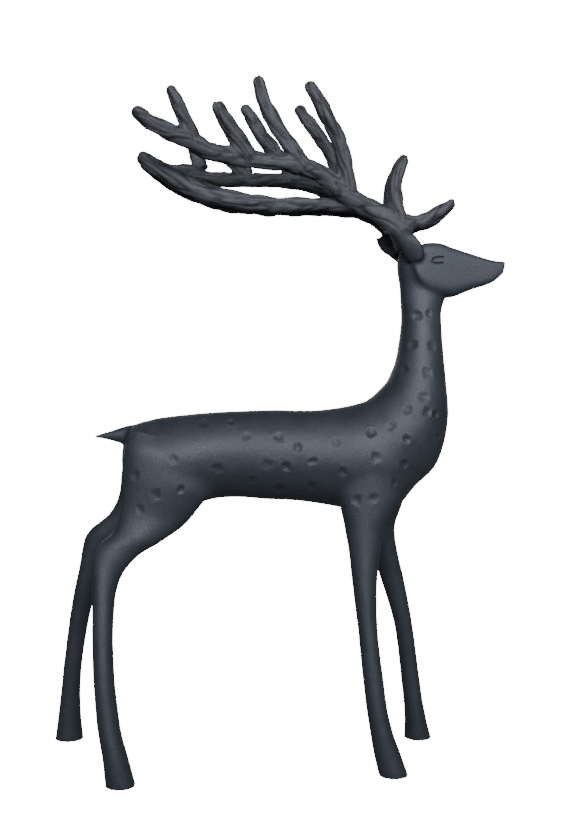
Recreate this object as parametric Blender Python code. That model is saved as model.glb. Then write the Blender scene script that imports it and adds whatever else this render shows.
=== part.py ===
# Cast iron stag statue, in one casting: body, neck, head, ears, tail, legs and both antlers.
# The stag faces +X, its left and right sides are +Y and -Y, and its four soles stand on z = 0.
#
# Places and thicknesses are in five-hundredths of the statue's height, so on a statue 500 mm tall they
# read as millimetres. The shape is built from lofts that overlap, joined into one solid, and the shallow
# hammered dimples and the closed eyes are cut from it last.

import math

import bmesh
import bpy
from mathutils import Vector
from mathutils.bvhtree import BVHTree

STATUE_HEIGHT = 0.500
UNIT = STATUE_HEIGHT / 500

BARREL_WIDTH = 66.0
FORE_STANCE = 82.0
HIND_STANCE = 104.0
SHOULDER_LEG_SPACING = 40.0
HIP_HEIGHT = 185.0
CANNON_WIDTH = 14.0
ANTLER_FLATNESS = 0.85
BARK_FLUTE_DEPTH = 0.08
EAR_THICKNESS = 5.0
EAR_TURN = 2.0
DIMPLE_WIDTH = 7.5
DIMPLE_DEPTH = 0.9
EYE_GROOVE_WIDTH = 1.8

BODY_SIDES = 20
LEG_SIDES = 12
ANTLER_SIDES = 8

# Body and neck: each rib is the top point (x, z), the bottom point (x, z) and its share of the barrel's width.
# The ribs stand upright along the barrel and fan round the withers into the neck.
BODY_RIBS = [
    (-117, 238, -118, 216, 0.42),
    (-112, 247.5, -114, 194, 0.76),
    (-98, 253.5, -98, 181, 0.95),
    (-76, 257, -76, 186, 1.00),
    (-48, 259.5, -50, 194.5, 0.96),
    (-8, 261, -8, 194, 0.94),
    (35, 261.5, 33, 190, 0.99),
    (55, 265, 54, 185.5, 1.02),
    (66, 269, 78, 180, 1.00),
    (75, 277, 100, 202, 0.95),
    (82, 286, 121, 228.5, 0.86),
    (86.5, 297, 126.5, 257, 0.73),
    (89, 310, 124.5, 287, 0.60),
    (91, 330, 121.5, 324, 0.45),
    (90.7, 341, 121.4, 336, 0.41),
    (90, 353, 124.3, 346.8, 0.375),
    (88, 371, 118, 363, 0.41),
    (92, 387, 105, 384, 0.25),
]

# Head: the same kind of rib, with the half width itself. The first ribs rise steeply, so that the jaw and
# the cheek end in a round edge that stands out from the neck.
HEAD_RIBS = [
    (98, 374, 98, 366, 15.2),
    (101.5, 381, 101.5, 356.5, 15.8),
    (106, 385.5, 106, 351.5, 15.6),
    (112, 386.6, 112, 348, 14.8),
    (119, 386.4, 119, 347, 13.7),
    (128, 383.5, 128, 346.5, 12.1),
    (145, 378.5, 145, 352.5, 9.0),
    (163, 374, 163, 359.5, 5.9),
    (170.3, 373.4, 168.5, 364.5, 4.5),
]

TAIL_RIBS = [
    (-139, 242, -139, 240.5, 1.0),
    (-128, 245, -128, 238.5, 3.2),
    (-114, 249.5, -116, 235, 6.0),
    (-96, 252, -98, 231, 7.5),
]

# Legs: each rib is the rear point (x, z) and the front point (x, z), from inside the body to the sole.
# The stag walks, so each pair of legs is posed in its own way. The last rib is the flat sole.
LEFT_HIND = [
    (-108, 246, -71, 240),
    (-117, 233, -58, 225),
    (-121, 215, -52, 204),
    (-122.7, 199, -64.7, 191),
    (-128.7, 184, -84.7, 176),
    (-137.7, 175.5, -106.7, 166),
    (-145.7, 169, -123.7, 156),
    (-149.7, 163, -133.2, 150.5),
    (-154.2, 143, -138.2, 138.5),
    (-161.7, 109, -146.2, 108),
    (-168.2, 68, -154.2, 67),
    (-172.2, 34.5, -156.9, 34.5),
    (-174.7, 16, -156.2, 16),
    (-176.7, 0, -154.7, 0),
]
RIGHT_HIND = [
    (-107, 246, -70, 240),
    (-114, 234, -57, 225),
    (-117, 217, -51, 202),
    (-117, 203, -57.5, 193.5),
    (-117.7, 189, -68.5, 180),
    (-122.7, 172.5, -89, 165),
    (-131.7, 164.5, -106, 154.5),
    (-135.7, 157, -114, 145),
    (-136.7, 141.5, -118.4, 134),
    (-135.9, 116, -120.6, 115),
    (-134.4, 79, -119.6, 78),
    (-130.4, 39, -114, 37),
    (-126.9, 19, -109.2, 19),
    (-124.7, 0, -103.7, 0),
]
LEFT_FORE = [
    (50, 215, 97, 215),
    (55, 191, 96, 191),
    (65, 170.5, 90, 170.5),
    (72, 151.5, 92.3, 151.5),
    (79.8, 129, 98, 129),
    (91.2, 93, 105.5, 93),
    (97.2, 52, 111.8, 52),
    (100.3, 24.5, 116.2, 24.5),
    (101, 13.5, 118.5, 13.5),
    (100.5, 0, 122, 0),
]
RIGHT_FORE = [
    (41, 217, 91, 217),
    (41.3, 195, 85.8, 195),
    (45.3, 176, 75.8, 176),
    (48.1, 159, 72, 159),
    (50, 137.5, 68.6, 137.5),
    (53.5, 107, 68.1, 107),
    (56.5, 72, 71.1, 72),
    (61.5, 32, 77.6, 32),
    (64.8, 13, 84.3, 13),
    (67.8, 0, 88.8, 0),
]
# Widths of the legs across the stag, at their ribs, as shares of the cannon bone's width.
HIND_WIDTHS = [0.6, 1.65, 1.9, 1.82, 1.65, 1.45, 1.3, 1.2, 1.12, 1.05, 1.05, 1.15, 1.28, 1.4]
FORE_WIDTHS = [1.8, 1.8, 1.65, 1.4, 1.18, 1.0, 1.0, 1.17, 1.28, 1.4]

# Antler of the right side: each branch is a row of (x, distance from the middle, z, radius), from its root
# in the branch before it to the centre of its round tip. The left antler mirrors it, but for a few branches
# that lean another way. ANTLER_LEAN gives how far each of those moves (x, z) at its root and at its tip, how
# far it bows upwards between them, and its thickness as a share of the right one's.
ANTLER = {
    "beam": [
        (93, 8.5, 382, 7.5),
        (88, 9.5, 395, 8.4),
        (78, 10, 404.5, 8.0),
        (67, 10, 410.8, 7.2),
        (55, 11, 416, 7.3),
        (46, 14, 422.5, 7.2),
        (29, 18, 434, 6.6),
        (12, 22, 439.5, 7.0),
        (-10, 27, 440.8, 5.9),
        (-31, 31, 442.5, 6.6),
        (-51, 36, 444.8, 6.4),
        (-67, 42, 451.6, 6.9),
        (-84, 50, 456.2, 5.9),
        (-101.5, 57, 465.5, 5.0),
    ],
    "lower_beam": [
        (61, 10, 414, 6.8),
        (43.5, 8.5, 414, 5.3),
        (22, 7, 414.2, 5.3),
        (2, 7, 413.8, 5.7),
        (-20, 7, 415, 6.2),
        (-42, 7.5, 418.2, 7.0),
        (-64, 8, 424.6, 7.2),
        (-84, 9, 434.8, 6.4),
        (-101.5, 10, 446.8, 5.2),
    ],
    "front_tine": [
        (89, 9, 400, 7.6),
        (100, 8.5, 401.3, 5.8),
        (111, 8.5, 404.6, 5.9),
        (120, 8.5, 410.4, 5.4),
        (126.8, 8.5, 415.3, 4.0),
    ],
    "brow_tine": [
        (87, 9.5, 404, 7.6),
        (84.5, 9, 418, 6.2),
        (85, 8.5, 431, 5.7),
        (88, 8, 440.5, 5.3),
        (91.8, 7.5, 447.8, 4.3),
    ],
    "third_tine": [
        (48.5, 13.5, 424, 7.2),
        (46.6, 17, 439.5, 6.0),
        (41.2, 21, 458, 5.8),
        (31.8, 26, 475.3, 5.7),
        (20, 30, 494.2, 4.6),
    ],
    "fourth_tine": [
        (15, 22, 438.5, 7.0),
        (6.8, 25.5, 450, 5.9),
        (-5, 30, 466, 5.6),
        (-13.6, 33, 482, 5.3),
        (-17.6, 35, 496, 4.3),
    ],
    "fifth_tine": [
        (-25, 31, 443, 6.7),
        (-31.8, 34, 453, 6.3),
        (-40.3, 39, 464.6, 5.7),
        (-46, 43, 474.6, 5.0),
    ],
    "last_tine": [
        (-65, 42, 452, 6.2),
        (-68.6, 45, 462, 5.4),
        (-73.4, 48, 472.4, 4.8),
        (-79.2, 51, 483.3, 4.0),
    ],
}
ANTLER_LEAN = {
    "beam": ((0, 0), (-5, -5), 0.8, 0.87),
    "third_tine": ((0, 0), (-3.5, 1), 0, 1.0),
    "fourth_tine": ((0, 1), (-8, 1), 0, 1.0),
    "fifth_tine": ((0, 1), (-6, -7), 0, 1.0),
    "last_tine": ((4, -1), (9, -6), 0, 1.0),
}

# Ear of one side: the ribs run from the round base on the cheek to the tip behind, as front point (x, z),
# rear point (x, z) and distance from the middle. The front edge stands off the head by EAR_TURN more and the
# rear edge by as much less. The left ear is turned further out: its rear points lie further back.
EAR_RIBS = [
    (103.5, 372.5, 98, 370, 15.2),
    (105.2, 377, 93.5, 371, 15.8),
    (104.3, 381, 90.8, 375, 16.8),
    (102, 385, 88.3, 379.5, 17.3),
    (99, 389, 85.8, 384, 17),
    (96, 393, 83, 389.3, 15.5),
    (91, 397, 76, 392.5, 12.5),
]
LEFT_EAR_REACH = [0, 0, 1, 4, 8, 8.5, 3]

# Centres of the hammered dimples as (x, z), seen from the side. They lie on the body and the neck alone.
DIMPLES = [
    (-59, 252), (-38, 253), (-26, 243), (-4, 242), (10, 234), (38, 238), (65, 245), (78, 250),
    (-47, 218), (-12, 221), (2, 219), (21, 223), (42, 216), (-23, 209), (-3, 203), (21, 205),
    (-79, 226), (-92, 200), (-73, 203), (-107, 214), (-103, 190), (68, 227), (90, 240), (89, 221),
    (82, 208), (66, 197), (53, 196), (100, 332), (110, 333), (96, 310), (112, 309), (90, 292),
    (107, 289), (104, 271), (90, 262), (106, 260), (116, 241), (113, 258),
]

# Closed eye: an upper lid that bends down to the inner corner, and a lower lid.
UPPER_LID = [(111.6, 371), (112.3, 373), (115, 374.4), (120.3, 375.1)]
LOWER_LID = [(111.6, 371), (113.5, 370.3), (119.8, 370.5)]


def spline_rows(rows, spacing):
    """Rows between the given ones, along a smooth curve through all of them, about so far apart."""
    places = [0.0]
    for a, b in zip(rows, rows[1:]):
        places.append(places[-1] + max(math.dist(a[:3], b[:3]), 1e-6))
    last = len(rows) - 1
    slopes = []
    for i in range(last + 1):
        a, b = max(i - 1, 0), min(i + 1, last)
        if a < i < b:
            before = places[i] - places[a]
            after = places[b] - places[i]
            slopes.append([
                ((rows[b][k] - rows[i][k]) / after * before + (rows[i][k] - rows[a][k]) / before * after)
                / (before + after)
                for k in range(len(rows[0]))
            ])
        else:
            slopes.append([(rows[b][k] - rows[a][k]) / (places[b] - places[a]) for k in range(len(rows[0]))])
    made = []
    for i in range(last):
        gap = places[i + 1] - places[i]
        steps = max(1, round(gap / spacing))
        for step in range(steps):
            t = step / steps
            made.append([
                (2 * t**3 - 3 * t**2 + 1) * rows[i][k]
                + (t**3 - 2 * t**2 + t) * gap * slopes[i][k]
                + (3 * t**2 - 2 * t**3) * rows[i + 1][k]
                + (t**3 - t**2) * gap * slopes[i + 1][k]
                for k in range(len(rows[0]))
            ])
    made.append([float(value) for value in rows[-1]])
    return made


def new_object(name, bm, collection):
    bmesh.ops.recalc_face_normals(bm, faces=bm.faces[:])
    mesh = bpy.data.meshes.new(name)
    bm.to_mesh(mesh)
    bm.free()
    obj = bpy.data.objects.new(name, mesh)
    collection.objects.link(obj)
    obj.hide_render = True
    obj.display_type = "WIRE"
    return obj


def loft(name, rings, collection):
    """A closed solid through rings of points, with the same count in each, in five-hundredths."""
    bm = bmesh.new()
    loops = [[bm.verts.new(point * UNIT) for point in ring] for ring in rings]
    sides = len(loops[0])
    for a, b in zip(loops, loops[1:]):
        for i in range(sides):
            j = (i + 1) % sides
            bm.faces.new((a[i], a[j], b[j], b[i]))
    bm.faces.new(loops[0])
    bm.faces.new(loops[-1])
    return new_object(name, bm, collection)


def ring(centre, up, across, sides, squareness=2.0, flutes=0.0, turn=0.0):
    """One closed section. Squareness 2 is an ellipse, and more flattens its sides."""
    points = []
    for i in range(sides):
        angle = 2 * math.pi * i / sides
        c, s = math.cos(angle), math.sin(angle)
        c = math.copysign(abs(c) ** (2 / squareness), c)
        s = math.copysign(abs(s) ** (2 / squareness), s)
        swell = 1 + flutes * math.sin(3 * angle + turn)
        points.append(centre + (up * c + across * s) * swell)
    return points


def rib_loft(name, ribs, collection, sides, spacing, squareness=2.0):
    """A loft through ribs of (end x, end z, other end x, other end z, middle y, half width)."""
    rings = []
    for ax, az, bx, bz, y, half in spline_rows(ribs, spacing):
        end = Vector((ax, y, az))
        other = Vector((bx, y, bz))
        rings.append(ring((end + other) / 2, (end - other) / 2, Vector((0, half, 0)), sides, squareness))
    return loft(name, rings, collection)


def leg(name, ribs, widths, side, stance, collection):
    """A leg that leaves the body near its middle and spreads out to its hoof, most of all up high."""
    rows = []
    for (ax, az, bx, bz), width in zip(ribs, widths):
        fall = max(0, 1 - (az + bz) / 2 / HIP_HEIGHT)
        y = SHOULDER_LEG_SPACING / 2 + (stance - SHOULDER_LEG_SPACING) / 2 * (1 - (1 - fall) ** 1.6)
        rows.append((ax, az, bx, bz, side * y, width * CANNON_WIDTH / 2))
    return rib_loft(name, rows, collection, LEG_SIDES, 18)


def branch(name, title, rows, side, collection, spacing=11.0):
    """An antler branch with round tip, fluted like bark and flatter across the stag than along it."""
    plain = ((0, 0), (0, 0), 0, 1.0)
    root, out, bow, girth = ANTLER_LEAN.get(title, plain) if side > 0 else plain
    leaning = []
    for i, (x, y, z, r) in enumerate(rows):
        share = (i / (len(rows) - 1)) ** 2
        lift = 4 * bow * share * (1 - share)
        leaning.append((x + root[0] * (1 - share) + out[0] * share, y,
                        z + root[1] * (1 - share) + out[1] * share + lift, r * girth))
    rows = spline_rows([(x, side * y, z, r) for x, y, z, r in leaning], spacing)
    centres = [Vector(row[:3]) for row in rows]
    radii = [row[3] for row in rows]
    tip = (centres[-1] - centres[-2]).normalized()
    for angle in (40, 72):
        centres.append(Vector(rows[-1][:3]) + tip * radii[len(rows) - 1] * math.sin(math.radians(angle)))
        radii.append(rows[-1][3] * math.cos(math.radians(angle)))
    rings = []
    for i, (centre, radius) in enumerate(zip(centres, radii)):
        along = (centres[min(i + 1, len(centres) - 1)] - centres[max(i - 1, 0)]).normalized()
        across = (Vector((0, 1, 0)) - along * along.y).normalized()
        up = along.cross(across)
        rings.append(ring(centre, up * radius, across * radius * ANTLER_FLATNESS, ANTLER_SIDES,
                          flutes=BARK_FLUTE_DEPTH, turn=0.35 * i * side))
    return loft(name, rings, collection)


def ear(name, side, collection):
    rows = []
    for (ax, az, bx, bz, y), reach in zip(EAR_RIBS, LEFT_EAR_REACH):
        back = reach if side > 0 else 0
        rows.append((ax, az, bx - back, bz, y))
    rings = []
    for ax, az, bx, bz, y in spline_rows(rows, 7):
        front = Vector((ax, side * (y + EAR_TURN), az))
        rear = Vector((bx, side * (y - EAR_TURN), bz))
        rings.append(ring((front + rear) / 2, (front - rear) / 2, Vector((0, EAR_THICKNESS / 2, 0)), 10))
    return loft(name, rings, collection)


def cut_dimples(solid, collection):
    """One shallow round cutter for each dimple of each side, set square to the surface that it dents."""
    tree = BVHTree.FromObject(solid, bpy.context.evaluated_depsgraph_get())
    ball = ((DIMPLE_WIDTH / 2) ** 2 + DIMPLE_DEPTH**2) / (2 * DIMPLE_DEPTH)
    bm = bmesh.new()
    for side in (-1, 1):
        for x, z in DIMPLES:
            start = Vector((x, side * 100, z)) * UNIT
            place, normal, _, _ = tree.ray_cast(start, Vector((0, -side, 0)))
            if place is None:
                continue
            centre = place + normal * (ball - DIMPLE_DEPTH) * UNIT
            turn = normal.to_track_quat("Z", "Y").to_matrix().to_4x4()
            turn.translation = centre
            bmesh.ops.create_uvsphere(bm, u_segments=6, v_segments=12, radius=ball * UNIT, matrix=turn)
    return new_object("dimple_cutters", bm, collection)


def eye_groove(name, line, side, solid, collection):
    """A round bead laid along one lid, half sunk into the flat of the face."""
    tree = BVHTree.FromObject(solid, bpy.context.evaluated_depsgraph_get())
    rings = []
    rows = spline_rows([(x, 0, z) for x, z in line], 1.6)
    places = []
    for x, _, z in rows:
        place, _, _, _ = tree.ray_cast(Vector((x, side * 100, z)) * UNIT, Vector((0, -side, 0)))
        places.append(place / UNIT)
    for i, place in enumerate(places):
        along = (places[min(i + 1, len(places) - 1)] - places[max(i - 1, 0)]).normalized()
        across = Vector((0, 1, 0)).cross(along).normalized()
        half = EYE_GROOVE_WIDTH / 2 * (0.6 if i in (0, len(places) - 1) else 1.0)
        rings.append(ring(place, Vector((0, half, 0)), across * half, 6))
    return loft(name, rings, collection)


def add_boolean(obj, title, operation, collection):
    modifier = obj.modifiers.new(title, "BOOLEAN")
    modifier.operation = operation
    modifier.operand_type = "COLLECTION"
    modifier.collection = collection
    modifier.solver = "EXACT"
    return modifier


for old in list(bpy.data.objects):
    bpy.data.objects.remove(old)

parts = bpy.data.collections.new("cast_iron_stag")
masses = bpy.data.collections.new("stag_masses")
cutters = bpy.data.collections.new("stag_cutters")
for collection in (parts, masses, cutters):
    bpy.context.scene.collection.children.link(collection)

iron = bpy.data.materials.new("cast_iron")
iron.use_nodes = True
shader = iron.node_tree.nodes["Principled BSDF"]
shader.inputs["Base Color"].default_value = (0.022, 0.026, 0.032, 1)
shader.inputs["Metallic"].default_value = 0.35
shader.inputs["Roughness"].default_value = 0.55

body_ribs = [(ax, az, bx, bz, 0, share * BARREL_WIDTH / 2) for ax, az, bx, bz, share in BODY_RIBS]
stag = rib_loft("stag", body_ribs, parts, BODY_SIDES, 16)
stag.hide_render = False
stag.display_type = "SOLID"
stag.data.materials.append(iron)

rib_loft("head", [(*rib[:4], 0, rib[4]) for rib in HEAD_RIBS], masses, 16, 14, squareness=4.0)
rib_loft("tail", [(*rib[:4], 0, rib[4]) for rib in TAIL_RIBS], masses, 10, 12)
leg("left_hind_leg", LEFT_HIND, HIND_WIDTHS, 1, HIND_STANCE, masses)
leg("right_hind_leg", RIGHT_HIND, HIND_WIDTHS, -1, HIND_STANCE, masses)
leg("left_fore_leg", LEFT_FORE, FORE_WIDTHS, 1, FORE_STANCE, masses)
leg("right_fore_leg", RIGHT_FORE, FORE_WIDTHS, -1, FORE_STANCE, masses)
for side, word in ((1, "left"), (-1, "right")):
    ear(word + "_ear", side, masses)
    for title, rows in ANTLER.items():
        branch(word + "_antler_" + title, title, rows, side, masses)

add_boolean(stag, "join the masses", "UNION", masses)
bpy.context.view_layer.update()
cut_dimples(stag, cutters)
for side, word in ((1, "left"), (-1, "right")):
    eye_groove(word + "_upper_lid", UPPER_LID, side, stag, cutters)
    eye_groove(word + "_lower_lid", LOWER_LID, side, stag, cutters)
add_boolean(stag, "cut the dimples and eyes", "DIFFERENCE", cutters)
stag.data.shade_smooth()
stag.data.set_sharp_from_angle(angle=math.radians(50))

# The frame's origin is below the middle of the statue's length, so the whole figure moves along X to it.
bpy.context.view_layer.update()
corners = stag.evaluated_get(bpy.context.evaluated_depsgraph_get()).bound_box
middle = (min(corner[0] for corner in corners) + max(corner[0] for corner in corners)) / 2
anchor = bpy.data.objects.new("below_the_middle", None)
parts.objects.link(anchor)
for obj in [stag, *masses.objects, *cutters.objects]:
    obj.parent = anchor
anchor.location.x = -middle
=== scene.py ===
# %% [markdown]
# # A cast iron stag
#
# The real thing is one iron casting about half a metre tall: a walking stag with a smooth body dented by a
# round punch, a flat-sided face with closed eyes, and antlers modelled like old twigs. A founder would
# shape it in wax first, and this lesson does the same in code: plain lofted masses, pressed together,
# relaxed, and only then carved.
#
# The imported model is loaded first. It fixes where the statue stands and how big it is, and the carved
# figure has to stay inside its box.

# %% The frame and its size
import math

import bmesh
import bpy
import numpy as np
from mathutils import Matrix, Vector, noise


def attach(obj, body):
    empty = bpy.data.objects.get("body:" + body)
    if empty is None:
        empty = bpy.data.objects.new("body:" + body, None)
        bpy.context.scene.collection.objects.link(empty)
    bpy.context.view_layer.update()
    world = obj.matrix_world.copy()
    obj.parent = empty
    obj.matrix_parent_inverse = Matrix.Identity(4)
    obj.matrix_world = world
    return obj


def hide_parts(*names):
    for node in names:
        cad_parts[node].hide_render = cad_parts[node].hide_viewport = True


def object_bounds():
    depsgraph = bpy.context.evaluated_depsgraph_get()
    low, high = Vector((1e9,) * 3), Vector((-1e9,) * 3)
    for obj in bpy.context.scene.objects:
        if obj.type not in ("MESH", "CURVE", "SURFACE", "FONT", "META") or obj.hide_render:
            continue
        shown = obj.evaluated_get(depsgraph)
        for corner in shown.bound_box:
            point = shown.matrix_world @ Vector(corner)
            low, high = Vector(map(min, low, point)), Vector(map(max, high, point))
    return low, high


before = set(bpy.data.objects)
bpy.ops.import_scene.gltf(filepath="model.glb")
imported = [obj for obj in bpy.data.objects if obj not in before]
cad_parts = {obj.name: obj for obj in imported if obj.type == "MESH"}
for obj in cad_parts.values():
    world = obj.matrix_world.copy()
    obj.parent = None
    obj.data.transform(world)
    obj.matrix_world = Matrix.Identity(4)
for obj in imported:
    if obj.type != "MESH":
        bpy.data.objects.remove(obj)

cad_low, cad_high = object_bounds()
MM = 0.001
print("casting, in mm:", [round((b - a) / MM, 1) for a, b in zip(cad_low, cad_high)])

# %% [markdown]
# ## Rows and rings
#
# Every mass of the animal, from the barrel to an antler tine, is a row of cross-sections. The sizes are
# written for a few places only, in millimetres, and a smooth curve fills in the rest, as a sculptor's
# callipers would check a few stations. Blender could give a curve a bevel instead, but then its sections
# are all alike, and here a leg changes from a flat thigh to a round bone, so each section is computed.


# %% A smooth curve through a few rows
def spline_rows(rows, spacing):
    rows = np.array(rows, float)
    gaps = np.maximum(np.linalg.norm(np.diff(rows[:, :3], axis=0), axis=1), 1e-6)
    steps = np.diff(rows, axis=0) / gaps[:, None]
    slopes = np.empty_like(rows)
    slopes[0] = steps[0]
    slopes[-1] = steps[-1]
    before = gaps[:-1, None]
    after = gaps[1:, None]
    slopes[1:-1] = (steps[1:] * before + steps[:-1] * after) / (before + after)
    made = []
    for i, gap in enumerate(gaps):
        count = max(1, round(gap / spacing))
        for t in np.arange(count) / count:
            made.append(
                (2 * t**3 - 3 * t**2 + 1) * rows[i]
                + (t**3 - 2 * t**2 + t) * gap * slopes[i]
                + (3 * t**2 - 2 * t**3) * rows[i + 1]
                + (t**3 - t**2) * gap * slopes[i + 1]
            )
    made.append(rows[-1])
    return np.array(made)


# %% A ring, and a closed skin through many rings
def ring(centre, up, across, sides, squareness=2.0):
    turn = 2 * np.pi * np.arange(sides) / sides
    c = np.sign(np.cos(turn)) * np.abs(np.cos(turn)) ** (2 / squareness)
    s = np.sign(np.sin(turn)) * np.abs(np.sin(turn)) ** (2 / squareness)
    return np.array(centre) + np.outer(c, up) + np.outer(s, across)


wax = bmesh.new()


def add_skin(rings):
    loops = [[wax.verts.new(point) for point in one] for one in rings]
    sides = len(loops[0])
    faces = []
    for a, b in zip(loops, loops[1:]):
        for i in range(sides):
            j = (i + 1) % sides
            faces.append(wax.faces.new((a[i], a[j], b[j], b[i])))
    faces.append(wax.faces.new(loops[0]))
    faces.append(wax.faces.new(loops[-1]))
    bmesh.ops.recalc_face_normals(wax, faces=faces)


def add_ribs(rows, sides, spacing=4.0, squareness=2.0):
    """Each row is one end (x, z), the other end (x, z), the middle y and half the width."""
    rings = []
    for ax, az, bx, bz, y, half in spline_rows(rows, spacing):
        end = np.array((ax, y, az))
        other = np.array((bx, y, bz))
        rings.append(ring((end + other) / 2, (end - other) / 2, (0, half, 0), sides, squareness))
    add_skin(rings)


# %% [markdown]
# ## Body and neck
#
# The real barrel and neck are one smooth bag shape with no muscles drawn on it. One loft gives that: its
# ribs stand upright along the barrel and fan round the withers, so the chest stays full and the neck rises
# from it without a join.

# %% Body and neck
BARREL_WIDTH = 66.0
BODY_RIBS = [
    (-117, 238, -118, 216, 0.42),
    (-112, 247.5, -114, 194, 0.76),
    (-98, 253.5, -98, 181, 0.95),
    (-76, 257, -76, 186, 1.00),
    (-48, 259.5, -50, 194.5, 0.96),
    (-8, 261, -8, 194, 0.94),
    (35, 261.5, 33, 190, 0.99),
    (55, 265, 54, 185.5, 1.02),
    (66, 269, 78, 180, 1.00),
    (75, 277, 100, 202, 0.95),
    (82, 286, 121, 228.5, 0.86),
    (86.5, 297, 126.5, 257, 0.73),
    (89, 310, 124.5, 287, 0.60),
    (91, 330, 121.5, 324, 0.45),
    (90.7, 341, 121.4, 336, 0.41),
    (90, 353, 124.3, 346.8, 0.375),
    (88, 371, 118, 363, 0.41),
    (92, 387, 105, 384, 0.25),
]
add_ribs([(ax, az, bx, bz, 0, share * BARREL_WIDTH / 2) for ax, az, bx, bz, share in BODY_RIBS], 80)
print("body and neck:", len(wax.verts), "points")

# %% [markdown]
# ## Head and tail
#
# The head is a flat wedge: its two cheeks are nearly plane, and only the brow and the jaw are rounded. A
# squarer ring gives that section, and the first ribs rise so steeply that the cheek ends in a round edge
# against the neck. The tail is a short cone.

# %% Head and tail
HEAD_RIBS = [
    (98, 374, 98, 366, 15.2),
    (101.5, 381, 101.5, 356.5, 15.8),
    (106, 385.5, 106, 351.5, 15.6),
    (112, 386.6, 112, 348, 14.8),
    (119, 386.4, 119, 347, 13.7),
    (128, 383.5, 128, 346.5, 12.1),
    (145, 378.5, 145, 352.5, 9.0),
    (163, 374, 163, 359.5, 5.9),
    (170.3, 373.4, 168.5, 364.5, 4.5),
]
TAIL_RIBS = [
    (-139, 242, -139, 240.5, 1.0),
    (-128, 245, -128, 238.5, 3.2),
    (-114, 249.5, -116, 235, 6.0),
    (-96, 252, -98, 231, 7.5),
]
add_ribs([(*rib[:4], 0, rib[4]) for rib in HEAD_RIBS], 64, 2.0, squareness=5.0)
add_ribs([(*rib[:4], 0, rib[4]) for rib in TAIL_RIBS], 32, 2.0)
print("with head and tail:", len(wax.verts), "points")

# %% [markdown]
# ## Legs
#
# The stag walks, so each leg has its own pose, but the two hind legs share their widths, and so do the fore
# legs. Each leg leaves the body near the middle and spreads outwards to its hoof, most of it high up, which
# is what lets the narrow figure stand by itself.

# %% Legs
CANNON_WIDTH = 14.0
SHOULDER_LEG_SPACING = 40.0
HIP_HEIGHT = 185.0
FORE_STANCE = 82.0
HIND_STANCE = 104.0
EARLY_SPREAD = 1.6
LEFT_HIND = [
    (-108, 246, -71, 240),
    (-117, 233, -58, 225),
    (-121, 215, -52, 204),
    (-122.7, 199, -64.7, 191),
    (-128.7, 184, -84.7, 176),
    (-137.7, 175.5, -106.7, 166),
    (-145.7, 169, -123.7, 156),
    (-149.7, 163, -133.2, 150.5),
    (-154.2, 143, -138.2, 138.5),
    (-161.7, 109, -146.2, 108),
    (-168.2, 68, -154.2, 67),
    (-172.2, 34.5, -156.9, 34.5),
    (-174.7, 16, -156.2, 16),
    (-176.7, 0, -154.7, 0),
]
RIGHT_HIND = [
    (-107, 246, -70, 240),
    (-114, 234, -57, 225),
    (-117, 217, -51, 202),
    (-117, 203, -57.5, 193.5),
    (-117.7, 189, -68.5, 180),
    (-122.7, 172.5, -89, 165),
    (-131.7, 164.5, -106, 154.5),
    (-135.7, 157, -114, 145),
    (-136.7, 141.5, -118.4, 134),
    (-135.9, 116, -120.6, 115),
    (-134.4, 79, -119.6, 78),
    (-130.4, 39, -114, 37),
    (-126.9, 19, -109.2, 19),
    (-124.7, 0, -103.7, 0),
]
LEFT_FORE = [
    (50, 215, 97, 215),
    (55, 191, 96, 191),
    (65, 170.5, 90, 170.5),
    (72, 151.5, 92.3, 151.5),
    (79.8, 129, 98, 129),
    (91.2, 93, 105.5, 93),
    (97.2, 52, 111.8, 52),
    (100.3, 24.5, 116.2, 24.5),
    (101, 13.5, 118.5, 13.5),
    (100.5, 0, 122, 0),
]
RIGHT_FORE = [
    (41, 217, 91, 217),
    (41.3, 195, 85.8, 195),
    (45.3, 176, 75.8, 176),
    (48.1, 159, 72, 159),
    (50, 137.5, 68.6, 137.5),
    (53.5, 107, 68.1, 107),
    (56.5, 72, 71.1, 72),
    (61.5, 32, 77.6, 32),
    (64.8, 13, 84.3, 13),
    (67.8, 0, 88.8, 0),
]
HIND_WIDTHS = [0.6, 1.65, 1.9, 1.82, 1.65, 1.45, 1.3, 1.2, 1.12, 1.05, 1.05, 1.15, 1.28, 1.4]
FORE_WIDTHS = [1.8, 1.8, 1.65, 1.4, 1.18, 1.0, 1.0, 1.17, 1.28, 1.4]


def add_leg(ribs, widths, side, stance):
    rows = []
    for (ax, az, bx, bz), width in zip(ribs, widths):
        fall = max(0, 1 - (az + bz) / 2 / HIP_HEIGHT)
        y = SHOULDER_LEG_SPACING / 2 + (stance - SHOULDER_LEG_SPACING) / 2 * (1 - (1 - fall) ** EARLY_SPREAD)
        rows.append((ax, az, bx, bz, side * y, width * CANNON_WIDTH / 2))
    add_ribs(rows, 48, 3.0)


add_leg(LEFT_HIND, HIND_WIDTHS, 1, HIND_STANCE)
add_leg(RIGHT_HIND, HIND_WIDTHS, -1, HIND_STANCE)
add_leg(LEFT_FORE, FORE_WIDTHS, 1, FORE_STANCE)
add_leg(RIGHT_FORE, FORE_WIDTHS, -1, FORE_STANCE)
print("with legs:", len(wax.verts), "points")

# %% [markdown]
# ## Ears
#
# Each ear is a thick leaf laid back along the antler's root, with its round base lobe on the cheek. Its
# front edge stands off the head, so the leaf faces a little backwards. The left one is turned further out,
# and its rear edge shows behind the neck. Its rings lie in a slanting plane, so they are made here one by
# one.

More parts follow.
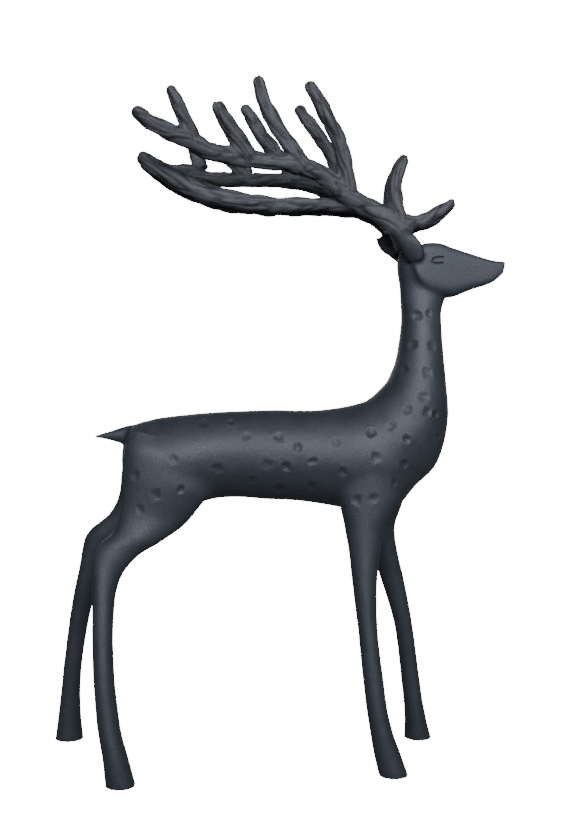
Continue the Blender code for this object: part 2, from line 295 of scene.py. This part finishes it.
# %% Ears
EAR_THICKNESS = 5.0
EAR_TURN = 2.0
LEFT_EAR_REACH = [0, 0, 1, 4, 8, 8.5, 3]
EAR_RIBS = [
    (103.5, 372.5, 98, 370, 15.2),
    (105.2, 377, 93.5, 371, 15.8),
    (104.3, 381, 90.8, 375, 16.8),
    (102, 385, 88.3, 379.5, 17.3),
    (99, 389, 85.8, 384, 17),
    (96, 393, 83, 389.3, 15.5),
    (91, 397, 76, 392.5, 12.5),
]
for side in (-1, 1):
    rows = []
    for (ax, az, bx, bz, y), reach in zip(EAR_RIBS, LEFT_EAR_REACH):
        back = reach if side > 0 else 0
        rows.append((ax, az, bx - back, bz, y))
    rings = []
    for ax, az, bx, bz, y in spline_rows(rows, 2.0):
        front = np.array((ax, side * (y + EAR_TURN), az))
        rear = np.array((bx, side * (y - EAR_TURN), bz))
        rings.append(ring((front + rear) / 2, (front - rear) / 2, (0, EAR_THICKNESS / 2, 0), 40))
    add_skin(rings)
print("with ears:", len(wax.verts), "points")

# %% [markdown]
# ## Antlers
#
# The antlers are two beams on each side with tines standing on them, like a branch from an old tree. A
# branch is a centre line with a radius at each place, thicker where it grows out of the one before it and
# round at its tip. The left antler mirrors the right one, except that a few of its branches lean another
# way: each of those has a shift at its root, a shift at its tip, a bow and a share of the thickness. The
# centre lines are kept, because the bark is carved along them later.

# %% Centre lines of the antlers
ANTLER_FLATNESS = 0.85
ANTLER = {
    "beam": [
        (93, 8.5, 382, 7.5),
        (88, 9.5, 395, 8.4),
        (78, 10, 404.5, 8.0),
        (67, 10, 410.8, 7.2),
        (55, 11, 416, 7.3),
        (46, 14, 422.5, 7.2),
        (29, 18, 434, 6.6),
        (12, 22, 439.5, 7.0),
        (-10, 27, 440.8, 5.9),
        (-31, 31, 442.5, 6.6),
        (-51, 36, 444.8, 6.4),
        (-67, 42, 451.6, 6.9),
        (-84, 50, 456.2, 5.9),
        (-101.5, 57, 465.5, 5.0),
    ],
    "lower_beam": [
        (61, 10, 414, 6.8),
        (43.5, 8.5, 414, 5.3),
        (22, 7, 414.2, 5.3),
        (2, 7, 413.8, 5.7),
        (-20, 7, 415, 6.2),
        (-42, 7.5, 418.2, 7.0),
        (-64, 8, 424.6, 7.2),
        (-84, 9, 434.8, 6.4),
        (-101.5, 10, 446.8, 5.2),
    ],
    "front_tine": [
        (89, 9, 400, 7.6),
        (100, 8.5, 401.3, 5.8),
        (111, 8.5, 404.6, 5.9),
        (120, 8.5, 410.4, 5.4),
        (126.8, 8.5, 415.3, 4.0),
    ],
    "brow_tine": [
        (87, 9.5, 404, 7.6),
        (84.5, 9, 418, 6.2),
        (85, 8.5, 431, 5.7),
        (88, 8, 440.5, 5.3),
        (91.8, 7.5, 447.8, 4.3),
    ],
    "third_tine": [
        (48.5, 13.5, 424, 7.2),
        (46.6, 17, 439.5, 6.0),
        (41.2, 21, 458, 5.8),
        (31.8, 26, 475.3, 5.7),
        (20, 30, 494.2, 4.6),
    ],
    "fourth_tine": [
        (15, 22, 438.5, 7.0),
        (6.8, 25.5, 450, 5.9),
        (-5, 30, 466, 5.6),
        (-13.6, 33, 482, 5.3),
        (-17.6, 35, 496, 4.3),
    ],
    "fifth_tine": [
        (-25, 31, 443, 6.7),
        (-31.8, 34, 453, 6.3),
        (-40.3, 39, 464.6, 5.7),
        (-46, 43, 474.6, 5.0),
    ],
    "last_tine": [
        (-65, 42, 452, 6.2),
        (-68.6, 45, 462, 5.4),
        (-73.4, 48, 472.4, 4.8),
        (-79.2, 51, 483.3, 4.0),
    ],
}
ANTLER_LEAN = {
    "beam": ((0, 0), (-5, -5), 0.8, 0.87),
    "third_tine": ((0, 0), (-3.5, 1), 0, 1.0),
    "fourth_tine": ((0, 1), (-8, 1), 0, 1.0),
    "fifth_tine": ((0, 1), (-6, -7), 0, 1.0),
    "last_tine": ((4, -1), (9, -6), 0, 1.0),
}


def centre_line(title, rows, side):
    plain = ((0, 0), (0, 0), 0, 1.0)
    root, out, bow, girth = ANTLER_LEAN.get(title, plain) if side > 0 else plain
    leaning = []
    for i, (x, y, z, r) in enumerate(rows):
        share = (i / (len(rows) - 1)) ** 2
        lift = 4 * bow * share * (1 - share)
        x += root[0] * (1 - share) + out[0] * share
        z += root[1] * (1 - share) + out[1] * share + lift
        leaning.append((x, side * y, z, r * girth))
    return spline_rows(leaning, 1.5)


# %% Skins round the centre lines
bark_lines = []
for side in (-1, 1):
    for number, (title, rows) in enumerate(ANTLER.items()):
        line = centre_line(title, rows, side)
        ahead = np.gradient(line[:, :3], axis=0)
        ahead /= np.linalg.norm(ahead, axis=1)[:, None]
        across = np.array((0, 1, 0)) - ahead * ahead[:, 1:2]
        across /= np.linalg.norm(across, axis=1)[:, None]
        up = np.cross(ahead, across)
        rings = []
        for i in range(len(line)):
            radius = line[i, 3]
            rings.append(ring(line[i, :3], up[i] * radius, across[i] * radius * ANTLER_FLATNESS, 28))
        for angle in np.radians((15, 30, 45, 60, 72)):
            tip = line[-1, :3] + ahead[-1] * line[-1, 3] * math.sin(angle)
            radius = line[-1, 3] * math.cos(angle)
            rings.append(ring(tip, up[-1] * radius, across[-1] * radius * ANTLER_FLATNESS, 28))
        add_skin(rings)
        run = np.concatenate([[0.0], np.cumsum(np.linalg.norm(np.diff(line[:, :3], axis=0), axis=1))])
        seed = np.full(len(line), number + 10 * side, float)
        bark_lines.append(np.column_stack([line, run, seed, up, across]))
bark_lines = np.concatenate(bark_lines)
print("with antlers:", len(wax.verts), "points;", len(bark_lines), "places along the antlers")

# %% [markdown]
# ## Pressing the wax together
#
# So far the masses only overlap. A Boolean union would keep every hard seam, and the real casting has none.
# A voxel remesh joins everything that overlaps into one even skin of little squares, which is also what
# carving needs.

# %% One skin, by voxels of 0.9 mm
VOXEL = 0.9


def mesh_through(obj, title):
    graph = bpy.context.evaluated_depsgraph_get()
    made = bpy.data.meshes.new_from_object(obj.evaluated_get(graph))
    made.name = title
    return made


rough_mesh = bpy.data.meshes.new("wax_masses")
wax.to_mesh(rough_mesh)
wax.free()
rough = bpy.data.objects.new("wax_masses", rough_mesh)
bpy.context.scene.collection.objects.link(rough)
pressing = rough.modifiers.new("press together", "REMESH")
pressing.mode = "VOXEL"
pressing.voxel_size = VOXEL
skin = mesh_through(rough, "stag_skin")
bpy.data.objects.remove(rough)
bpy.data.meshes.remove(rough_mesh)

points = np.empty(len(skin.vertices) * 3)
skin.vertices.foreach_get("co", points)
points = points.reshape(-1, 3)
pairs = np.empty(len(skin.edges) * 2, np.int64)
skin.edges.foreach_get("vertices", pairs)
pairs = pairs.reshape(-1, 2)
neighbours = np.bincount(pairs.ravel(), minlength=len(points))
print("pressed skin:", len(points), "points")

# %% [markdown]
# ## Relaxing
#
# Wax is smoothed with a warm thumb: seams sink, but a leg doesn't get thinner. Plain smoothing would shrink
# the antlers, so each round pulls the points together and then pushes them apart by about as much, which
# takes out small waves and leaves big ones. The face and the hooves keep their edges, so the thumb is light
# there. The haunch is rubbed down once more, so that its front edge dies away into the flank. The inner
# corners, where a tine or a leg grows out of its neighbour, get a second pass that only ever adds wax.

# %% The warm thumb
def mean_of_neighbours(values):
    total = np.empty_like(values)
    for axis in range(3):
        column = values[:, axis]
        total[:, axis] = np.bincount(pairs[:, 0], column[pairs[:, 1]], len(values))
        total[:, axis] += np.bincount(pairs[:, 1], column[pairs[:, 0]], len(values))
    return total / neighbours[:, None]


def between(values, start, end):
    """0 below start, 1 above end, and a soft step from one to the other."""
    t = np.clip((values - start) / (end - start), 0, 1)
    return t * t * (3 - 2 * t)


def relax(values, weight, rounds):
    for _ in range(rounds):
        for push in (0.55, -0.56):
            values = values + push * weight[:, None] * (mean_of_neighbours(values) - values)
    return values


x, y, z = points.T
on_antler = between(z, 386, 396)
on_face = between(x, 99, 104) * between(z, 340, 346) * (1 - on_antler)
near_floor = 1 - between(z, 2, 14)
thumb = (1 - 0.85 * on_face) * (1 - 0.9 * near_floor) * (1 - 0.35 * on_antler)
points = relax(points, thumb, 45)
HAUNCH_EDGE = (-60, 208)
HAUNCH_REACH = 22
haunch = np.exp(-(((x - HAUNCH_EDGE[0]) / HAUNCH_REACH) ** 2) - ((z - HAUNCH_EDGE[1]) / HAUNCH_REACH) ** 2)
for _ in range(50):
    points = points + 0.5 * haunch[:, None] * (mean_of_neighbours(points) - points)
print("relaxed, height now", round(float(np.ptp(points[:, 2])), 1), "mm")

# %% Wax added in the inner corners
corner_faces = np.empty(len(skin.loops), np.int64)
skin.loops.foreach_get("vertex_index", corner_faces)
quads = corner_faces.reshape(-1, 4)


def outward(values):
    a, b, c, d = (values[quads[:, i]] for i in range(4))
    flat = np.cross(c - a, d - b)
    total = np.zeros_like(values)
    for corner in range(4):
        for axis in range(3):
            total[:, axis] += np.bincount(quads[:, corner], flat[:, axis], len(values))
    return total / np.maximum(np.linalg.norm(total, axis=1), 1e-12)[:, None]


def fill_corners(values, weight, rounds):
    for step in range(rounds):
        if step % 8 == 0:
            normals = outward(values)
        rise = ((mean_of_neighbours(values) - values) * normals).sum(1)
        values = values + normals * (weight * np.maximum(rise - 0.004, 0))[:, None]
    return values


fill = 0.9 * (1 - 0.6 * on_face) * (1 - near_floor) * np.maximum(on_antler, 0.6)
before = points.copy()
points = fill_corners(points, fill, 60)
print("most wax added:", round(float(np.linalg.norm(points - before, axis=1).max()), 2), "mm")

# %% [markdown]
# ## Dimples
#
# Round dents are scattered over the body and the neck, as if a ball punch had been tapped into the wax.
# They are about 7 mm wide and about 1 mm deep, and the shins and the head have none. Each one is a soft
# ragged bowl with a faint raised rim, because wax that is pushed down has to go somewhere. Random draws
# make no two alike, and a slow noise lifts and sinks the skin between them by a quarter of a millimetre.

# %% Dimples
DIMPLE_WIDTH = 7.5
DIMPLE_DEPTH = 0.9
RAGGEDNESS = 0.4
DIMPLES = [
    (-59, 252), (-38, 253), (-26, 243), (-4, 242), (10, 234), (38, 238), (65, 245), (78, 250),
    (-47, 218), (-12, 221), (2, 219), (21, 223), (42, 216), (-23, 209), (-3, 203), (21, 205),
    (-79, 226), (-92, 200), (-73, 203), (-107, 214), (-103, 190), (68, 227), (90, 240), (89, 221),
    (82, 208), (66, 197), (53, 196), (100, 332), (110, 333), (96, 310), (112, 309), (90, 292),
    (107, 289), (104, 271), (90, 262), (106, 260), (116, 241), (113, 258),
]
normals = outward(points)
dent = np.zeros(len(points))
rng = np.random.default_rng(7)
for side in (-1, 1):
    for px, pz in DIMPLES:
        column = (abs(points[:, 0] - px) < 1) & (abs(points[:, 2] - pz) < 1)
        near = np.flatnonzero(column & (points[:, 1] * side > 0))
        spot = points[near[np.argmax(abs(points[near, 1]))]]
        offset = points - spot
        turn = rng.uniform(0, math.pi)
        along = offset[:, 0] * math.cos(turn) + offset[:, 2] * math.sin(turn)
        oval = rng.uniform(0.1, 0.45)
        spread = np.sqrt((offset**2).sum(1) + oval * along**2)
        struck = np.flatnonzero(spread < 2 * DIMPLE_WIDTH)
        ragged = np.array([noise.noise(Vector(points[i]) * 0.33) for i in struck])
        spread[struck] *= 1 + RAGGEDNESS * ragged
        reach = spread / (DIMPLE_WIDTH / 2 * rng.uniform(0.9, 1.35))
        depth = DIMPLE_DEPTH * rng.uniform(0.7, 1.15)
        dent += depth * np.clip(1 - reach**2, 0, 1) ** 1.3
        dent -= 0.15 * depth * np.exp(-(((reach - 1.2) / 0.3) ** 2))
points = points - normals * dent[:, None]
print("dimples:", 2 * len(DIMPLES))

# %% The uneven surface under them
UNEVENNESS = 0.28
wave = np.array([
    noise.noise(Vector(point) * 0.045) + 0.4 * noise.noise(Vector(point) * 0.12)
    for point in points
])
plain_skin = (1 - on_face) * (1 - on_antler) * (1 - near_floor)
points = points + normals * (UNEVENNESS * wave * plain_skin)[:, None]
print("highest wave:", round(float(UNEVENNESS * wave.max()), 2), "mm")

# %% [markdown]
# ## Bark
#
# The antlers look like dead branches: long wandering furrows, shallow lumps, and a blunt end. Furrows have
# to follow each branch, so plain noise won't do. Each point finds its place along the nearest centre line,
# and the noise is read there, stretched along the branch and tight around it.

# %% Each antler point finds its branch
crown = np.flatnonzero(points[:, 2] > 386)
nearest = np.empty(len(crown), np.int64)
for part in np.array_split(np.arange(len(crown)), 60):
    gap = np.linalg.norm(points[crown[part], None] - bark_lines[None, :, :3], axis=2) - bark_lines[:, 3]
    nearest[part] = gap.argmin(1)
home = bark_lines[nearest]
away = points[crown] - home[:, :3]
along = home[:, 4]
round_up = (away * home[:, 6:9]).sum(1)
round_across = (away * home[:, 9:12]).sum(1)
distance = np.linalg.norm(away, axis=1) / home[:, 3]
print("points on the antlers:", len(crown))

# %% Furrows and lumps
FURROW_DEPTH = 0.8
TWIST = 0.022
turn = TWIST * along
length = np.maximum(np.hypot(round_up, round_across), 1e-6)
side_a = 5.5 * (round_up * np.cos(turn) + round_across * np.sin(turn)) / length
side_b = 5.5 * (round_across * np.cos(turn) - round_up * np.sin(turn)) / length
furrow = np.empty(len(crown))
lump = np.empty(len(crown))
for i in range(len(crown)):
    seed = 31.7 * home[i, 5]
    wide = noise.noise(Vector((along[i] * 0.042 + seed, side_a[i] * 0.22, side_b[i] * 0.22)))
    fine = noise.noise(Vector((along[i] * 0.07 - seed, side_a[i] * 0.46, side_b[i] * 0.46)))
    furrow[i] = math.exp(-((wide / 0.13) ** 2)) + 0.4 * math.exp(-((fine / 0.11) ** 2))
    lump[i] = noise.noise(Vector((along[i] * 0.085 + seed, side_a[i] * 0.16, side_b[i] * 0.16)))
fade = between(points[crown, 2], 388, 398) * np.clip(2.2 - distance, 0, 1)
bark = np.zeros(len(points))
bark[crown] = fade * np.clip(furrow, 0, 1.2)
swell = np.zeros(len(points))
swell[crown] = fade * (0.35 + 1.3 * lump)
points = points + outward(points) * (swell - FURROW_DEPTH * bark)[:, None]
points = relax(points, on_antler, 3)
print("deepest furrow:", round(float(FURROW_DEPTH * bark.max()), 2), "mm")

# %% [markdown]
# ## From wax to iron
#
# The skin now has far more faces than its flat parts need. Decimating by collapse thins it out where it is
# smooth and keeps it fine in the furrows. The marks of the carving travel along as attributes, so that the
# finish can tell a furrow from a ridge, and so that painted shade can darken the furrows, the dimples and
# the ears.

# %% Placed in the frame, thinned out
MOST_TRIANGLES = 170000
x, y, z = points.T
# Where the ears are, so that they get painted shade.
head_side = 13.7 + 2.1 * between(x, 95, 98.5)
on_ear = between(np.abs(y) - head_side, 0, 0.7) * between(z, 366, 368) * (1 - between(z, 392, 398))
on_ear *= 1 - between(x, 104, 107)
shift = (cad_low.x + cad_high.x) / 2 - (points[:, 0].min() + points[:, 0].max()) / 2 * MM
placed = points * MM + np.array((shift, 0, 0))
placed = np.clip(placed, np.array(cad_low), np.array(cad_high))
skin.vertices.foreach_set("co", placed.ravel())
# The first attribute is painted shade: the furrows, the dimples and the ears are darkened in the colour.
for title, values in (
    ("hollow_shade", np.clip(bark + 0.5 * np.clip(dent / DIMPLE_DEPTH, 0, 1) + 0.85 * on_ear, 0, 1)),
    ("antler", between(z, 388, 398)),
):
    skin.attributes.new(title, "FLOAT", "POINT").data.foreach_set("value", values.astype(np.float32))
stag = bpy.data.objects.new("cast_stag", skin)
bpy.context.scene.collection.objects.link(stag)
thinning = stag.modifiers.new("thin out", "DECIMATE")
thinning.ratio = MOST_TRIANGLES / (2 * len(quads))
thin = mesh_through(stag, "cast_stag")
stag.modifiers.clear()
stag.data = thin
bpy.data.meshes.remove(skin)
print("triangles:", len(thin.loops) - 2 * len(thin.polygons))

# %% [markdown]
# ## Closed eyes
#
# The eye is drawn with two strokes of a gouge: an upper lid that bends down to the inner corner, and a
# short lower lid. They are finer than the voxels were, so they come last, when the flat cheek can be
# divided again just where the gouge goes: each round of dividing keeps closer to the lids and leaves
# shorter edges. The strokes are cut by the distance to their lines, seen from the side.

# %% Closed eyes
ROOM_AND_LONGEST_EDGE = ((8, 1.6), (6, 1.0), (4, 0.7), (3, 0.5), (2, 0.36), (1.6, 0.25))
EYE_GROOVE_WIDTH = 1.6
EYE_GROOVE_DEPTH = 0.9
CHEEK = 8
UPPER_LID = [(111.6, 371), (112.3, 373), (115, 374.4), (120.3, 375.1)]
LOWER_LID = [(111.6, 371), (113.5, 370.3), (119.8, 370.5)]
lid_lines = [
    spline_rows([(px * MM + shift, 0, pz * MM) for px, pz in lid], 0.4 * MM)[:, [0, 2]]
    for lid in (UPPER_LID, LOWER_LID)
]


def distance_to_lids(values):
    nearest = np.full(len(values), np.inf)
    for line in lid_lines:
        for start, end in zip(line[:-1], line[1:]):
            run = end - start
            t = np.clip(((values - start) @ run) / (run @ run), 0, 1)
            nearest = np.minimum(nearest, np.linalg.norm(values - start - t[:, None] * run, axis=1))
    return nearest


gouged = bmesh.new()
gouged.from_mesh(thin)
hollow_shade_layer = gouged.verts.layers.float["hollow_shade"]
for room, longest in ROOM_AND_LONGEST_EDGE:
    cheek = [v for v in gouged.verts if abs(v.co.y) > CHEEK * MM]
    reach = distance_to_lids(np.array([(v.co.x, v.co.z) for v in cheek]))
    close = {v for v, r in zip(cheek, reach) if r < room * MM}
    long_edges = [e for e in gouged.edges if e.verts[0] in close and e.verts[1] in close]
    long_edges = [e for e in long_edges if e.calc_length() > longest * MM]
    bmesh.ops.subdivide_edges(gouged, edges=long_edges, cuts=1)
    bmesh.ops.triangulate(gouged, faces=[f for f in gouged.faces if len(f.verts) > 3])
cheek = [v for v in gouged.verts if abs(v.co.y) > CHEEK * MM]
reach = distance_to_lids(np.array([(v.co.x, v.co.z) for v in cheek])) / (EYE_GROOVE_WIDTH / 2 * MM)
for v, r in zip(cheek, reach):
    if r < 1:
        v.co.y -= math.copysign(EYE_GROOVE_DEPTH * MM * (1 - r * r), v.co.y)
        # The groove also gets painted shade in the colour.
        v[hollow_shade_layer] = 0.8 * (1 - r**4)
gouged.to_mesh(thin)
gouged.free()
print("points in the lids:", int((reach < 1).sum()))

# %% The casting takes the place of the solid
thin.shade_smooth()
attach(stag, "root")
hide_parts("stag")
print("triangles:", len(thin.loops) - 2 * len(thin.polygons))
print("attributes:", [one.name for one in thin.attributes])

# %% [markdown]
# ## The finish
#
# The iron is black-grey with a breath of blue, oiled or waxed to a satin sheen. Close up it has the fine
# grain of the sand mould, and from further off it is slightly patchy. Both come from one node group, so
# that bump, colour and sheen all follow the same grains and patches. An image could show them as well, but
# it would need unwrapping, and this needs none.


# %% A node group for the grain of the mould
def new_group(title, inputs, outputs):
    group = bpy.data.node_groups.new(title, "ShaderNodeTree")
    for name, value in inputs:
        group.interface.new_socket(name, in_out="INPUT", socket_type="NodeSocketFloat").default_value = value
    for name in outputs:
        group.interface.new_socket(name, in_out="OUTPUT", socket_type="NodeSocketFloat")
    return group, group.nodes.new("NodeGroupInput"), group.nodes.new("NodeGroupOutput")


def add_noise(tree, coordinates, scale, detail, roughness):
    one = tree.nodes.new("ShaderNodeTexNoise")
    one.inputs["Detail"].default_value = detail
    one.inputs["Roughness"].default_value = roughness
    tree.links.new(coordinates, one.inputs["Vector"])
    tree.links.new(scale, one.inputs["Scale"])
    return one.outputs["Fac"]


def add_math(tree, operation, a, b):
    one = tree.nodes.new("ShaderNodeMath")
    one.operation = operation
    for value, socket in zip((a, b), one.inputs):
        if isinstance(value, (int, float)):
            socket.default_value = value
        else:
            tree.links.new(value, socket)
    return one.outputs[0]


grain, entry, leave = new_group(
    "mould_grain",
    [("Grains per metre", 900.0), ("Patches per metre", 38.0)],
    ["Height", "Patch"],
)
place = grain.nodes.new("ShaderNodeTexCoord").outputs["Object"]
sand = add_noise(grain, place, entry.outputs["Grains per metre"], 3.0, 0.6)
patches = add_noise(grain, place, entry.outputs["Patches per metre"], 4.0, 0.55)
grain.links.new(sand, leave.inputs["Height"])
grain.links.new(patches, leave.inputs["Patch"])
print("group:", grain.name, [item.name for item in grain.interface.items_tree])

# %% [markdown]
# ## Iron
#
# One material serves the whole casting, because one pour has one finish. Its colour is a dark slate, a
# shade paler and duller on the rough antlers, and darker in every furrow, dimple and eye groove and on the
# ears, which is painted shade. The carving left the attribute "antler" and one for the painted shade.


# %% Cast iron
def ramp(tree, value, stops):
    one = tree.nodes.new("ShaderNodeValToRGB")
    tree.links.new(value, one.inputs["Fac"])
    for element, (position, colour) in zip(one.color_ramp.elements, stops):
        element.position = position
        element.color = (*colour, 1)
    return one.outputs["Color"]


def mix(tree, factor, a, b):
    one = tree.nodes.new("ShaderNodeMix")
    one.data_type = "RGBA"
    for value, socket in ((factor, one.inputs["Factor"]), (a, one.inputs[6]), (b, one.inputs[7])):
        if isinstance(value, float):
            socket.default_value = value
        elif isinstance(value, tuple):
            socket.default_value = (*value, 1)
        else:
            tree.links.new(value, socket)
    return one.outputs[2]


iron = bpy.data.materials.new("cast_iron")
iron.use_nodes = True
tree = iron.node_tree
shader = tree.nodes["Principled BSDF"]
shader.inputs["Metallic"].default_value = 0.25
shader.inputs["Specular IOR Level"].default_value = 0.45
grained = tree.nodes.new("ShaderNodeGroup")
grained.node_tree = grain
grained.inputs["Grains per metre"].default_value = 950.0
grained.inputs["Patches per metre"].default_value = 40.0
hollow_shade = tree.nodes.new("ShaderNodeAttribute")
hollow_shade.attribute_name = "hollow_shade"
slate = ramp(tree, grained.outputs["Patch"], [
    (0.3, (0.022, 0.026, 0.031)),
    (0.7, (0.034, 0.039, 0.046)),
])
speckled = mix(tree, 0.25, slate, ramp(tree, grained.outputs["Height"], [
    (0.35, (0.016, 0.019, 0.023)),
    (0.65, (0.046, 0.052, 0.060)),
]))
antler = tree.nodes.new("ShaderNodeAttribute")
antler.attribute_name = "antler"
worn = add_math(tree, "MULTIPLY", antler.outputs["Fac"], 0.3)
paler = mix(tree, worn, speckled, (0.105, 0.095, 0.088))
# Painted shade: the colour goes towards black in the furrows, dimples and eye grooves and on the ears.
painted_shade = add_math(tree, "MULTIPLY", hollow_shade.outputs["Fac"], 0.75)
darkened = mix(tree, painted_shade, paler, (0.006, 0.007, 0.009))
tree.links.new(darkened, shader.inputs["Base Color"])
shine = ramp(tree, grained.outputs["Patch"], [(0.3, (0.51, 0.51, 0.51)), (0.7, (0.60, 0.60, 0.60))])
duller = add_math(tree, "ADD", shine, add_math(tree, "MULTIPLY", antler.outputs["Fac"], 0.12))
tree.links.new(duller, shader.inputs["Roughness"])
bump = tree.nodes.new("ShaderNodeBump")
bump.inputs["Strength"].default_value = 0.35
bump.inputs["Distance"].default_value = 0.0004
tree.links.new(grained.outputs["Height"], bump.inputs["Height"])
tree.links.new(bump.outputs["Normal"], shader.inputs["Normal"])
stag.data.materials.clear()
stag.data.materials.append(iron)
print("material:", iron.name)

# %% [markdown]
# ## Floor, light and camera
#
# The photograph is a cut-out on white: a broad soft light from the camera's side, and the floor washed
# out. A big pale floor and a pale sky give the white. Only the camera sees them that bright: the iron sees
# a dimmer room, so that its edges stay dark. The front softbox has a grid, which narrows its beam to 80
# degrees, and it aims high, so the legs get less light, as in the photograph. A weak softbox behind the
# stag is there for views of the far side. The camera stands close and low, a little towards the tail, and
# is held level.

# %% Floor and sky
WHITE = 16.0
ROOM = 0.07


def seen_and_felt(tree, seen, felt):
    """Mixes two shaders: the first for the camera, the second for every other ray."""
    path = tree.nodes.new("ShaderNodeLightPath")
    one = tree.nodes.new("ShaderNodeMixShader")
    tree.links.new(path.outputs["Is Camera Ray"], one.inputs["Fac"])
    tree.links.new(felt, one.inputs[1])
    tree.links.new(seen, one.inputs[2])
    return one.outputs[0]


sky = bpy.data.worlds.new("studio_sky")
sky.use_nodes = True
bpy.context.scene.world = sky
tree = sky.node_tree
seen = tree.nodes["Background"]
seen.inputs["Color"].default_value = (1, 1, 1, 1)
seen.inputs["Strength"].default_value = WHITE
felt = tree.nodes.new("ShaderNodeBackground")
felt.inputs["Color"].default_value = (0.93, 0.96, 1, 1)
felt.inputs["Strength"].default_value = ROOM
whole_sky = seen_and_felt(tree, seen.outputs[0], felt.outputs[0])
tree.links.new(whole_sky, tree.nodes["World Output"].inputs["Surface"])

bpy.ops.mesh.primitive_plane_add(size=40)
floor = bpy.context.object
floor.name = "pale_floor"
pale = bpy.data.materials.new("pale_floor")
pale.use_nodes = True
tree = pale.node_tree
shader = tree.nodes["Principled BSDF"]
shader.inputs["Base Color"].default_value = (0.22, 0.22, 0.22, 1)
shader.inputs["Roughness"].default_value = 0.9
glow = tree.nodes.new("ShaderNodeEmission")
glow.inputs["Strength"].default_value = WHITE
output = tree.nodes["Material Output"]
tree.links.new(seen_and_felt(tree, glow.outputs[0], shader.outputs[0]), output.inputs["Surface"])
floor.data.materials.append(pale)
print("floor and sky as bright as", WHITE)


# %% Lamps
def add_lamp(title, place, target, width, height, watts, colour, spread=180):
    lamp = bpy.data.lights.new(title, "AREA")
    lamp.shape = "RECTANGLE"
    lamp.size = width
    lamp.size_y = height
    lamp.energy = watts
    lamp.color = colour
    lamp.spread = math.radians(spread)
    obj = bpy.data.objects.new(title, lamp)
    obj.location = place
    obj.rotation_euler = (Vector(target) - Vector(place)).to_track_quat("-Z", "Y").to_euler()
    bpy.context.scene.collection.objects.link(obj)
    return obj


add_lamp("front_softbox", (0.12, -1.2, 0.86), (0.05, 0, 0.48), 2.6, 0.6, 18, (0.845, 0.89, 1.0), 80)
add_lamp("back_softbox", (0.1, 1.5, 0.6), (0, 0, 0.28), 2.4, 0.8, 12, (0.93, 0.96, 1.0))
print("lamps:", [one.name for one in bpy.data.lights])

# %% Camera
PICTURE_HEIGHT = 826
FOCAL_PIXELS = 1000
PIXEL_AT_MIDDLE = 0.752 * MM
CAMERA_DISTANCE = FOCAL_PIXELS * PIXEL_AT_MIDDLE
CAMERA_HEIGHT = 344 * PIXEL_AT_MIDDLE
YAW = math.radians(3.0)
SENSOR = 36
lens = bpy.data.cameras.new("camera")
lens.sensor_width = SENSOR
lens.lens = SENSOR * FOCAL_PIXELS / PICTURE_HEIGHT
lens.clip_start = 0.01
camera = bpy.data.objects.new("camera", lens)
camera.location = (shift - CAMERA_DISTANCE * math.sin(YAW), -CAMERA_DISTANCE * math.cos(YAW), CAMERA_HEIGHT)
camera.rotation_euler = (math.radians(90), 0, -YAW)
bpy.context.scene.collection.objects.link(camera)
bpy.context.scene.camera = camera
print("camera", round(CAMERA_DISTANCE, 3), "m away, lens", round(lens.lens, 1), "mm")
